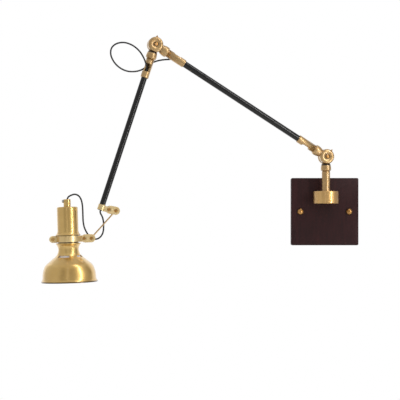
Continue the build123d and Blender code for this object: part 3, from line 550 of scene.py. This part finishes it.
POST_KNUCKLE_BRASS = knuckle_brass("turned_brass_post_knuckle", LOWER_PIVOT, -90.0)
FOREARM_KNUCKLE_BRASS = knuckle_brass("turned_brass_forearm_knuckle", ELBOW, FOREARM_ANGLE)


def painted_tube():
    """Black stoving paint on steel tube: glossy, with the light orange peel that breaks its highlight up."""
    material, tree, shader = new_material("black_stoved_paint")
    where = add(tree, "ShaderNodeTexCoord").outputs["Object"]
    peel = add(tree, "ShaderNodeTexNoise", {"Vector": where, "Scale": 260.0, "Detail": 2.0, "Roughness": 0.5})
    relief = add(tree, "ShaderNodeBump", {"Height": peel.outputs[0], "Strength": 0.12, "Distance": 0.3 * MM})
    tree.links.new(relief.outputs[0], shader.inputs["Normal"])
    wear = add(tree, "ShaderNodeTexNoise", {"Vector": where, "Scale": 90.0, "Detail": 3.0})
    gloss = add(tree, "ShaderNodeMapRange", {"Value": wear.outputs[0], "To Min": 0.12, "To Max": 0.26})
    tree.links.new(gloss.outputs[0], shader.inputs["Roughness"])
    shader.inputs["Base Color"].default_value = linear("#0e0d0c")
    shader.inputs["IOR"].default_value = 1.5
    return material


BLACK_PAINT = painted_tube()


def stained_wood():
    """Close-grained hardwood, stained almost black-red and satin lacquered, with its grain upright."""
    material, tree, shader = new_material("dark_stained_hardwood")
    where = add(tree, "ShaderNodeTexCoord").outputs["Object"]
    long = add(tree, "ShaderNodeMapping", {"Vector": where, "Scale": (1.0, 1.0, 0.12)})
    fibres = {"Vector": long.outputs[0], "Scale": 260.0, "Detail": 5.0, "Roughness": 0.6}
    grain = add(tree, "ShaderNodeTexNoise", fibres)
    pores = add(tree, "ShaderNodeTexNoise", {"Vector": long.outputs[0], "Scale": 1400.0, "Detail": 2.0})
    board = add(tree, "ShaderNodeTexNoise", {"Vector": where, "Scale": 9.0, "Detail": 2.0})
    ramp = add(tree, "ShaderNodeMapRange", {"Value": grain.outputs[0], "From Min": 0.3, "From Max": 0.7})
    first = add(tree, "ShaderNodeMix", {"Factor": ramp.outputs[0]}, data_type="RGBA")
    first.inputs["A"].default_value = linear("#2b0e0f")
    first.inputs["B"].default_value = linear("#391314")
    second = add(
        tree, "ShaderNodeMix", {"Factor": board.outputs[0]}, data_type="RGBA", blend_type="MULTIPLY"
    )
    tree.links.new(first.outputs["Result"], second.inputs["A"])
    second.inputs["B"].default_value = linear("#b9aaa6")
    tree.links.new(second.outputs["Result"], shader.inputs["Base Color"])
    relief = add(tree, "ShaderNodeBump", {"Height": pores.outputs[0], "Strength": 0.12, "Distance": 0.2 * MM})
    tree.links.new(relief.outputs[0], shader.inputs["Normal"])
    gloss = add(tree, "ShaderNodeMapRange", {"Value": grain.outputs[0], "To Min": 0.38, "To Max": 0.52})
    tree.links.new(gloss.outputs[0], shader.inputs["Roughness"])
    shader.inputs["Specular IOR Level"].default_value = 0.3
    return material


DARK_WOOD = stained_wood()


def plain_finish(name, colour, rough, metallic=0.0, scale=300.0):
    """A finish of one colour whose gloss varies a little over the surface."""
    material, tree, shader = new_material(name)
    where = add(tree, "ShaderNodeTexCoord").outputs["Object"]
    mottling = add(tree, "ShaderNodeTexNoise", {"Vector": where, "Scale": scale, "Detail": 3.0})
    ends = {"To Min": rough - 0.08, "To Max": rough + 0.08}
    gloss = add(tree, "ShaderNodeMapRange", {"Value": mottling.outputs[0], **ends})
    tree.links.new(gloss.outputs[0], shader.inputs["Roughness"])
    bumps = {"Height": mottling.outputs[0], "Strength": 0.08, "Distance": 0.2 * MM}
    relief = add(tree, "ShaderNodeBump", bumps)
    tree.links.new(relief.outputs[0], shader.inputs["Normal"])
    shader.inputs["Base Color"].default_value = linear(colour)
    shader.inputs["Metallic"].default_value = metallic
    return material


# Flexible PVC sheath of a thin round cord: black, a dull shine
CORD_SHEATH = plain_finish("black_cord_sheath", "#1d1d1d", 0.42, scale=900.0)
# Zinc-plated steel: pale, slightly blue, dull where it was barrelled
ZINC_STEEL = plain_finish("zinc_plated_steel", "#c9c8c6", 0.3, 1.0)
# Cold-pressed aluminium of a bulb's cap
PRESSED_ALUMINIUM = plain_finish("pressed_aluminium", "#d5d5d6", 0.3, 1.0)
# Moulded insulator of the lampholder
BLACK_INSULATOR = plain_finish("moulded_black_insulator", "#191818", 0.35)
# Moulded terminal block
PALE_INSULATOR = plain_finish("moulded_pale_insulator", "#dad8cf", 0.5)
# Pressed fibre of the friction washers
FIBRE = plain_finish("pressed_red_fibre", "#5a3426", 0.7)
# Rubber bush
BLACK_RUBBER = plain_finish("moulded_black_rubber", "#1a1a1a", 0.6)
# Opal glass of the globe
OPAL_GLASS = plain_finish("opal_glass", "#efedf0", 0.2, scale=60.0)

for piece in cords:
    piece.data.materials.append(CORD_SHEATH)

SLOT_FINISH = {
    "wood": DARK_WOOD,
    "brass": TURNED_BRASS,
    "black_tube": BLACK_PAINT,
    "steel": ZINC_STEEL,
    "aluminium": PRESSED_ALUMINIUM,
    "block_plastic": PALE_INSULATOR,
    "holder_plastic": BLACK_INSULATOR,
    "fibre": FIBRE,
    "rubber": BLACK_RUBBER,
    "cord_sheath": CORD_SHEATH,
    "opal_glass": OPAL_GLASS,
}
for part in frame["record"]["subparts"]:
    for material_slot in frame["nodes"][part["node"]].material_slots:
        material_slot.material = SLOT_FINISH[part["material_slot"]]


# ------------------------------------------------------------------------------------------------ head
def bell_profile():
    """Rim, lip, bell, slope and neck as tangent arcs, the same arcs one wall further in, flange and collar.

    The lip's arc leaves its first point at twice the slant of its chord, so it is upright at the second.
    """
    lip, bell, slope = [(51.8, 1.8), (48.9, 10.2)], [(45.2, 27.8), (40.1, 34.6)], [(25.9, 45.8)]
    neck = [(18.8, 57.6), (22.7, 69.8)]
    lean = 2 * math.atan2(lip[0][0] - lip[1][0], lip[1][1] - lip[0][1])
    outer, heading = arc_run(lip + bell + slope + neck, (-math.sin(lean), math.cos(lean)))
    inner = outer + SHADE_WALL * np.stack([-heading[:, 1], heading[:, 0]], -1)
    rim = arc((51.2, 0.5), 0.5, -90, 0, 5)
    mouth = arc((inner[0, 0] + 0.4, 0.4), 0.4, 180, 270, 5)
    flange = arc((22.3, 71.2), 0.4, 0, 90, 5)
    collar = [(COLLAR_RADIUS, 71.6), (COLLAR_RADIUS, COLLAR_TOP), (COLLAR_BORE, COLLAR_TOP)]
    collar.append((COLLAR_BORE, inner[-1, 1]))
    return np.vstack([rim, outer, flange, collar, inner[::-1], mouth])


def vent_cutter(middle):
    """A sector of a level ring that cuts one vent through the slope."""
    near, far = 18.9, 43.0
    a = np.radians(np.linspace(middle - VENT_SPREAD / 2, middle + VENT_SPREAD / 2, 25))
    sector = np.stack([np.cos(a), np.sin(a)], -1)
    ring = np.concatenate([far * sector, near * sector[::-1]])
    return column("vent_cutter", ring, VENT_HEIGHT - VENT_RISE / 2, VENT_HEIGHT + VENT_RISE / 2)


bell = lathe("bell_shade", bell_profile(), 192)
bell = combined(bell, [vent_cutter(FIRST_VENT + 360.0 / VENT_COUNT * count) for count in range(VENT_COUNT)])
finish_piece(bell, HEAD, "lamp_head", "shade", SPUN_BRASS)


def cover_profile():
    """Flared skirt, straight side, rounded top with the nipple's hole, and the bore."""
    ease = 0.3
    ceiling, shoulder = COVER_TOP - 1.2, COLLAR_TOP + 0.1
    ends = [(COVER_RADIUS, COVER_BOTTOM + 9.6), (COVER_SKIRT, COVER_BOTTOM + 1.2)]
    skirt, _ = arc_run(ends, (0.0, -1.0), 16)
    crown = arc((COVER_RADIUS - COVER_CROWN, COVER_TOP - COVER_CROWN), COVER_CROWN, 0, 90, 10)
    bore = [(NIPPLE_HOLE, COVER_TOP), (NIPPLE_HOLE, ceiling), (COVER_BORE, ceiling), (COVER_BORE, shoulder)]
    rebate = [(COLLAR_RADIUS + 0.05, shoulder), (COLLAR_RADIUS + 0.05, COVER_BOTTOM)]
    foot = [(COVER_SKIRT - ease, COVER_BOTTOM), (COVER_SKIRT, COVER_BOTTOM + ease)]
    return np.vstack([skirt[::-1], crown, bore, rebate, foot])


cover = lathe("lampholder_cover", cover_profile(), 160)
finish_piece(cover, HEAD, "lamp_head", "holder_cover", SPUN_BRASS)


def gland_profile():
    """Cord grip: a plain collar with eased edges, a dished mouth and the cord's bore."""
    low, high, bore = 0.35, 0.8, 1.75
    seat = COVER_TOP + 6.1
    side = [(GLAND_RADIUS - low, COVER_TOP), (GLAND_RADIUS, COVER_TOP + low), (GLAND_RADIUS, GLAND_TOP - high)]
    edge = arc((GLAND_RADIUS - high, GLAND_TOP - high), high, 0, 90, 7)
    inside = [(2.9, GLAND_TOP), (bore, GLAND_TOP - 1.2), (bore, seat), (NIPPLE_HOLE, seat)]
    return np.vstack([side, edge, inside, [(NIPPLE_HOLE, COVER_TOP)]])


grip = lathe("cord_grip", gland_profile(), 72)
finish_piece(grip, HEAD, "lamp_head", "cord_gland", SPUN_BRASS)


def screw(name, shank, head, thick, length):
    """A slotted screw along Z: a slightly domed head with eased rim, z = -thick to 0, and a threaded shank."""
    edge, crown, slot = 0.3, 0.25, 0.9
    top = [(0.0, -thick - crown), (head * 0.5, -thick - crown * 0.75)]
    rim = arc((head - edge, -thick + edge), edge, -90, 0, 6)
    body = lathe(name, np.vstack([top, rim, [(head, 0.0), (0.0, 0.0)]]), 48)
    deep = 0.45 * thick
    across = box_outline(-head - 1, head + 1, -slot / 2, slot / 2)
    body = combined(body, [column("slot", across, -thick - crown - 1, -thick + deep)])
    thread = threaded("shank", shank, pitch=0.7, low=-0.2, high=length, deep=0.18)
    return combined(body, [thread], "UNION")


grip_place = HEAD @ shift(GLAND_RADIUS, 0.0, COVER_TOP + 10.4) @ turn(-90, "Y")
grip_screw = screw("grip_screw", shank=1.25, head=2.7, thick=2.6, length=4.4)
finish_piece(grip_screw, grip_place, "lamp_head", "gland_screw", ZINC_STEEL)


def globe_profile():
    """Globe, one hollow round and the neck, outside and one wall further in.

    The hollow of radius b touches the globe of radius r and the neck of radius n, so its centre lies
    ((r + b)^2 - (n + b)^2)^0.5 above the globe's.
    """
    wall, hollow, top = 1.0, 14.0, 70.0
    rise = math.sqrt((GLOBE_RADIUS + hollow) ** 2 - (GLOBE_NECK + hollow) ** 2)
    share = GLOBE_RADIUS / (GLOBE_RADIUS + hollow)
    meet = ((GLOBE_NECK + hollow) * share, GLOBE_CENTRE + rise * share)
    stops = [(0.0, GLOBE_CENTRE - GLOBE_RADIUS), meet, (GLOBE_NECK, GLOBE_CENTRE + rise)]
    outer, heading = arc_run(stops, (1.0, 0.0), 28)
    inner = outer + wall * np.stack([-heading[:, 1], heading[:, 0]], -1)
    return np.vstack([outer, [(GLOBE_NECK, top), (GLOBE_NECK - wall, top)], inner[::-1]])


globe = lathe("opal_globe", globe_profile(), 96)
finish_piece(globe, HEAD, "lamp_head", "bulb", OPAL_GLASS)


# ------------------------------------------------------------------------------------------------ arms
def bar(name, tube, pivot, degrees, body, node):
    """Arm tube: a straight profile with eased ends, laid along its arm."""
    radius, bore, start, end = tube
    ease = 0.3
    near = arc((radius - ease, start + ease), ease, -90, 0, 5)
    far = arc((radius - ease, end - ease), ease, 0, 90, 5)
    piece = lathe(name, np.vstack([near, far, [(bore, end), (bore, start)]]), 96)
    place = ARM_PLANE @ on(pivot, degrees) @ turn(90, "Y")
    return finish_piece(piece, place, body, node, BLACK_PAINT)


bar("upper_bar", UPPER_TUBE, LOWER_PIVOT, UPPER_RISE, "upper_arm", "upper_arm_tube")
bar("lower_bar", LOWER_TUBE, ELBOW, FOREARM_ANGLE, "forearm", "forearm_tube")


def link_path():
    """A straight run with an eye of radius a bent at each end, the far half being the near half turned about.

    The bend of radius b that leads into an eye touches both it and the run, so it ends at x^2 = a^2 + 2 a b.
    """
    eye, bend = 2.95, 2.5
    far = math.sqrt(eye**2 + 2 * eye * bend)
    meet = math.degrees(math.atan2(bend, far))
    near = np.vstack(
        [arc((0.0, 0.0), eye, 310, meet, 40), arc((far, bend), bend, 180 + meet, 270, 12)[1:]]
    )
    return np.vstack([near, [(LINK_LENGTH / 2, 0.0)], (np.array([LINK_LENGTH, 0.0]) - near)[::-1]])


rod_place = ARM_PLANE @ on(LINK_TOP, LINK_ANGLE)
rod = wire("link_wire", link_path(), LINK_WIRE_RADIUS, 32)
finish_piece(rod, rod_place, "link_rod", "link_rod", KNUCKLE_BRASS)


# ------------------------------------------------------------------------------------------------ other solids
def lock_profile():
    """Pointed set screw: shank, wider threaded part and a cone outwards, from the bolt to past the rim."""
    return [(0, 2.0), (1.5, 2.0), (1.5, 11.6), (2.25, 12.2), (2.25, 14.3), (2.0, 14.6), (0.5, 17.4), (0, 17.65)]


def knuckle_screw(pivot, degrees):
    """A lock screw in a knuckle's rim, in the middle of the front disc's thickness."""
    screw_piece = lathe("lock_screw", lock_profile(), 40)
    return moved(screw_piece, on(pivot, degrees) @ shift(0.0, 0.0, -LOCK_DEPTH) @ turn(90, "Y"))


def square_outline(side, radius, steps=7):
    """The outline of a square with rounded corners about the origin, counter-clockwise."""
    inner = side / 2 - radius
    centres = [(inner, inner, 0), (-inner, inner, 90), (-inner, -inner, 180), (inner, -inner, 270)]
    return np.concatenate([arc((x, y), radius, start, start + 90, steps) for x, y, start in centres])


def values_of(items, name, kind):
    """One value of every item of a mesh, as an array."""
    values = np.empty(len(items), kind)
    items.foreach_get(name, values)
    return values


def keep_flat(mesh, sides=8, roundness=0.3):
    """Marks the edges of broad flat faces as sharp, so that the round faces beside them don't bend their shade.

    A broad face has many sides and a roundness 4 pi A / P^2 that no strip of a round face has.
    """
    points = np.empty(len(mesh.vertices) * 3)
    mesh.vertices.foreach_get("co", points)
    ends = np.empty(len(mesh.edges) * 2, int)
    mesh.edges.foreach_get("vertices", ends)
    start, end = points.reshape(-1, 3)[ends.reshape(-1, 2).T]
    edge = values_of(mesh.loops, "edge_index", int)
    total = values_of(mesh.polygons, "loop_total", int)
    first = values_of(mesh.polygons, "loop_start", int)
    perimeter = np.add.reduceat(np.linalg.norm(end - start, axis=1)[edge], first)
    area = values_of(mesh.polygons, "area", float)
    broad = (total > sides) & (4 * np.pi * area > roundness * perimeter**2)
    sharp = values_of(mesh.edges, "use_edge_sharp", bool)
    sharp[edge[np.repeat(broad, total)]] = True
    mesh.edges.foreach_set("use_edge_sharp", sharp)


def dressed(node, body, slot, within=None):
    """A CAD solid with its triangles joined and its curved faces smooth, in the finish of its material.

    A solid of broad flat faces has the triangles of each joined into one face, which stays flat in its shade.
    """
    mesh = frame["nodes"][node].data.copy()
    work = bmesh.new()
    work.from_mesh(mesh)
    bmesh.ops.remove_doubles(work, verts=work.verts, dist=0.002 * MM)
    if node in FLAT_FACED:
        level = math.radians(0.5)
        bmesh.ops.dissolve_limit(work, angle_limit=level, verts=work.verts, edges=work.edges)
    work.to_mesh(mesh)
    work.free()
    piece = bpy.data.objects.new(node + "_finished", mesh)
    bpy.context.scene.collection.objects.link(piece)
    if within is not None:
        combined(piece, [moved(within, METRES)], "INTERSECT")
    finish = FINISH_OF.get(node, SLOT_FINISH[slot])
    finish_piece(piece, METRES.inverted(), body, node, finish, 28.0)
    if node in FLAT_FACED:
        keep_flat(piece.data)
    return piece


FLAT_FACED = {
    "forearm_clamp",
    "forearm_clamp_screws",
    "head_strap_front",
    "head_strap_rear",
    "head_strap_screws",
    "post",
    "strap_ear_screw",
    "swivel_base",
}
FINISH_OF = {
    "forearm_clamp": SHEET_BRASS_PAINTED_SHEEN,
    "head_strap_front": SHEET_BRASS_PAINTED_SHEEN,
    "head_strap_rear": SHEET_BRASS_PAINTED_SHEEN,
    "post": KNUCKLE_BRASS,
    "upper_arm_lower_knuckle": KNUCKLE_BRASS,
    "upper_arm_upper_knuckle": KNUCKLE_BRASS,
    "post_knuckle": POST_KNUCKLE_BRASS,
    "forearm_knuckle": FOREARM_KNUCKLE_BRASS,
    "dome_nuts": BROWN_BRASS,
    "knuckle_bolts": BROWN_BRASS,
    "forearm_clamp_screws": BROWN_BRASS,
    "head_strap_screws": BROWN_BRASS,
    "strap_ear_screw": TURNED_BRASS,
}
MODELLED = {
    "elbow_cord",
    "link_cord_upper",
    "link_cord_lower",
    "head_cord",
    "shade",
    "holder_cover",
    "cord_gland",
    "gland_screw",
    "bulb",
    "upper_arm_tube",
    "forearm_tube",
    "link_rod",
    "lock_screws",
    "wall_plate",
}
slot_of = {part["node"]: part["material_slot"] for part in frame["record"]["subparts"]}
body_of = {}
for body, nodes in frame["record"]["behaviour"]["bodies"].items():
    for node in nodes:
        body_of[node] = body
        if node not in MODELLED:
            dressed(node, body, slot_of[node])

# The plate is kept within a block of rounded corners and front edge, which starts 3 mm behind it
square = square_outline(PLATE_SIDE, PLATE_CORNER)
block = column("plate_outline", square, -3.0, PLATE_THICKNESS, PLATE_EDGE)
dressed("wall_plate", body_of["wall_plate"], slot_of["wall_plate"], moved(block, turn(90, "X")))

locks = combined(
    knuckle_screw(LOWER_PIVOT, LOWER_LOCK_ANGLE), [knuckle_screw(ELBOW, ELBOW_LOCK_ANGLE)], "UNION"
)
finish_piece(locks, ARM_PLANE, body_of["lock_screws"], "lock_screws", BROWN_BRASS)

# ------------------------------------------------------------------------------------------------ studio
world = bpy.data.worlds.new("studio")
bpy.context.scene.world = world
world.use_nodes = True
tree = world.node_tree
tree.nodes.clear()
path = add(tree, "ShaderNodeLightPath")
seen = path.outputs["Is Camera Ray"]
for ray in ("Is Glossy Ray", "Is Transmission Ray"):
    seen = add(tree, "ShaderNodeMath", {0: seen, 1: path.outputs[ray]}, operation="MAXIMUM").outputs[0]
level = add(tree, "ShaderNodeMapRange", {"Value": seen, "To Min": 0.45, "To Max": 1.0})
sky = add(tree, "ShaderNodeBackground", {"Color": WHITE, "Strength": level.outputs[0]})
add(tree, "ShaderNodeOutputWorld", {"Surface": sky.outputs[0]})

STUDIO_CENTRE = (-0.25, -0.2)
STUDIO_RADIUS = 3.0
FLOOR, CEILING = -0.8, 2.8


def lamp(name, where, towards, size, power, shine=True):
    """A soft rectangular lamp aimed at a point; without shine it lights the piece but isn't mirrored in it."""
    data = bpy.data.lights.new(name, "AREA")
    data.shape = "RECTANGLE"
    data.size, data.size_y = size
    data.energy = power
    light = bpy.data.objects.new(name, data)
    light.location = where
    aim = Matrix.Translation(towards).to_translation() - light.location
    light.rotation_euler = aim.to_track_quat("-Z", "Y").to_euler()
    light.visible_glossy = shine
    bpy.context.scene.collection.objects.link(light)


def card(name, points, faces, strength):
    """A grey studio card of even brightness that the metal mirrors and the camera doesn't see."""
    mesh = bpy.data.meshes.new(name)
    mesh.from_pydata(np.asarray(points).reshape(-1, 3).tolist(), [], [list(face) for face in faces])
    material = bpy.data.materials.new(name)
    material.use_nodes = True
    nodes = material.node_tree
    nodes.nodes.clear()
    glow = add(nodes, "ShaderNodeEmission", {"Color": WHITE, "Strength": strength})
    add(nodes, "ShaderNodeOutputMaterial", {"Surface": glow.outputs[0]})
    mesh.materials.append(material)
    piece = bpy.data.objects.new(name, mesh)
    piece.visible_camera = False
    piece.visible_shadow = False
    bpy.context.scene.collection.objects.link(piece)


def side_card(name, start, end, strength):
    """An upright curved card: (r sin a, -r cos a, z) for a between two azimuths, 0 being the camera's side."""
    count = 9
    a = np.radians(np.linspace(start, end, count))
    x = STUDIO_CENTRE[0] + STUDIO_RADIUS * np.sin(a)
    y = STUDIO_CENTRE[1] - STUDIO_RADIUS * np.cos(a)
    points = np.stack([np.stack([x, y, np.full(count, z)], -1) for z in (FLOOR, CEILING)])
    card(name, points, grid_faces(2, count, around=False), strength)


# Azimuths in degrees and brightness of the cards, from the far left round the camera to the far right
for name, start, end, strength in (
    ("left_card", -125, -38, 0.58),
    ("left_flag", -38, -10, 0.40),
    ("camera_card", -10, -3, 0.95),
    ("right_flag", -3, 38, 0.42),
    ("right_card", 60, 84, 0.55),
    ("right_edge", 84, 125, 0.38),
):
    side_card(name, start, end, strength)

corners = ((-1, -1), (1, -1), (1, 1), (-1, 1))
card("ceiling", [(x * STUDIO_RADIUS, y * STUDIO_RADIUS, CEILING) for x, y in corners], [(0, 1, 2, 3)], 0.6)

# The narrow key stands close by on the right: its shine falls right of the middle on the head and the base
lamp("key", (1.0, -1.1, 0.35), (-0.25, -0.1, 0.1), (0.09, 2.2), 10.5)
lamp("high_key", (0.6, -0.75, 1.9), (-0.3, -0.1, 0.0), (0.2, 1.3), 6.0)
lamp("fill", (-0.6, -2.9, 1.6), (-0.25, 0.0, 0.0), (1.6, 1.6), 14.0, shine=False)

floor_mesh = bpy.data.meshes.new("floor")
floor_corners = ((-6, -6), (6, -6), (6, 0.4), (-6, 0.4))
floor_mesh.from_pydata([(x, y, FLOOR) for x, y in floor_corners], [], [(0, 1, 2, 3)])
floor = bpy.data.objects.new("floor", floor_mesh)
bpy.context.scene.collection.objects.link(floor)
paper, tree, shader = new_material("white_paper")
shader.inputs["Base Color"].default_value = (0.92, 0.92, 0.92, 1.0)
shader.inputs["Roughness"].default_value = 0.9
floor_mesh.materials.append(paper)

bpy.context.scene.view_settings.view_transform = "Standard"
